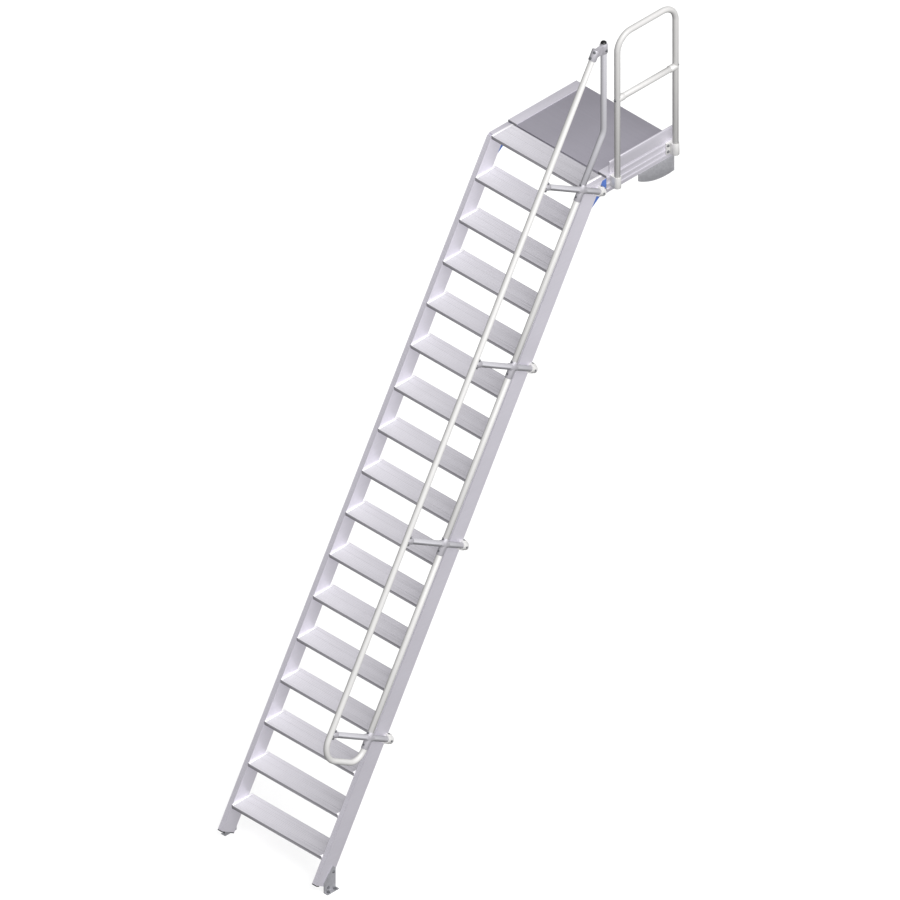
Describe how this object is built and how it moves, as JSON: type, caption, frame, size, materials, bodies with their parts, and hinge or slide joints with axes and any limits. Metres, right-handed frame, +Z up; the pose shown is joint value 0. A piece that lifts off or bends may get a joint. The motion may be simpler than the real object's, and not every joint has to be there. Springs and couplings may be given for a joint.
{
  "type": "platform stair",
  "caption": "Steep aluminium stair with ribbed treads, a bent tube handrail on its right side and a railed platform that is fixed to a wall.",
  "frame": {"origin": "on the flat rear face of the platform's rear beam, at the middle of the stair's width", "axes": "+Y into the wall, +X to the climber's right, +Z up"},
  "size_m": [0.9792, 3.1883, 5.35],
  "materials": {
    "ribbed_aluminium": "extruded, ribbed, matt",
    "extruded_aluminium": "mill finish, fine lengthwise die lines",
    "deck_aluminium": "dull, fine ribs",
    "rail_tube": "pale satin tube",
    "post_tube": "satin tube",
    "cast_aluminium": "cast, fine grain",
    "zinc_steel": "dull zinc-coated steel",
    "blue_plastic": "moulded blue plastic",
    "black_plastic": "moulded black plastic"
  },
  "bodies": {
    "root": {"arm_ends": "cast_aluminium", "cross_fittings": "cast_aluminium", "deck": "deck_aluminium", "foot_bracket_left": "zinc_steel", "foot_bracket_right": "zinc_steel", "front_beam": "extruded_aluminium", "handrail": "rail_tube", "handrail_saddles": "cast_aluminium", "joint_wedge_left": "blue_plastic", "joint_wedge_right": "blue_plastic", "knee_rail": "rail_tube", "mid_rail": "rail_tube", "mid_rail_sockets": "cast_aluminium", "platform_rail": "rail_tube", "post_joint": "cast_aluminium", "rail_arm_1": "post_tube", "rail_arm_2": "post_tube", "rail_arm_3": "post_tube", "rail_arm_4": "post_tube", "rail_clamp_front": "cast_aluminium", "rail_clamp_rear": "cast_aluminium", "rail_leg_plugs": "black_plastic", "rear_beam": "extruded_aluminium", "side_beam_caps": "extruded_aluminium", "side_beam_left": "extruded_aluminium", "side_beam_right": "extruded_aluminium", "stringer_foot_plugs": "black_plastic", "stringer_left": "extruded_aluminium", "stringer_right": "extruded_aluminium", "stringer_top_caps": "extruded_aluminium", "toe_board": "extruded_aluminium", "top_post": "post_tube", "top_post_cap": "black_plastic", "tread_01": "ribbed_aluminium", "tread_02": "ribbed_aluminium", "tread_03": "ribbed_aluminium", "tread_04": "ribbed_aluminium", "tread_05": "ribbed_aluminium", "tread_06": "ribbed_aluminium", "tread_07": "ribbed_aluminium", "tread_08": "ribbed_aluminium", "tread_09": "ribbed_aluminium", "tread_10": "ribbed_aluminium", "tread_11": "ribbed_aluminium", "tread_12": "ribbed_aluminium", "tread_13": "ribbed_aluminium", "tread_14": "ribbed_aluminium", "tread_15": "ribbed_aluminium", "tread_16": "ribbed_aluminium", "tread_17": "ribbed_aluminium", "wall_bracket_left": "zinc_steel", "wall_bracket_right": "zinc_steel"}
  },
  "joints": []
}
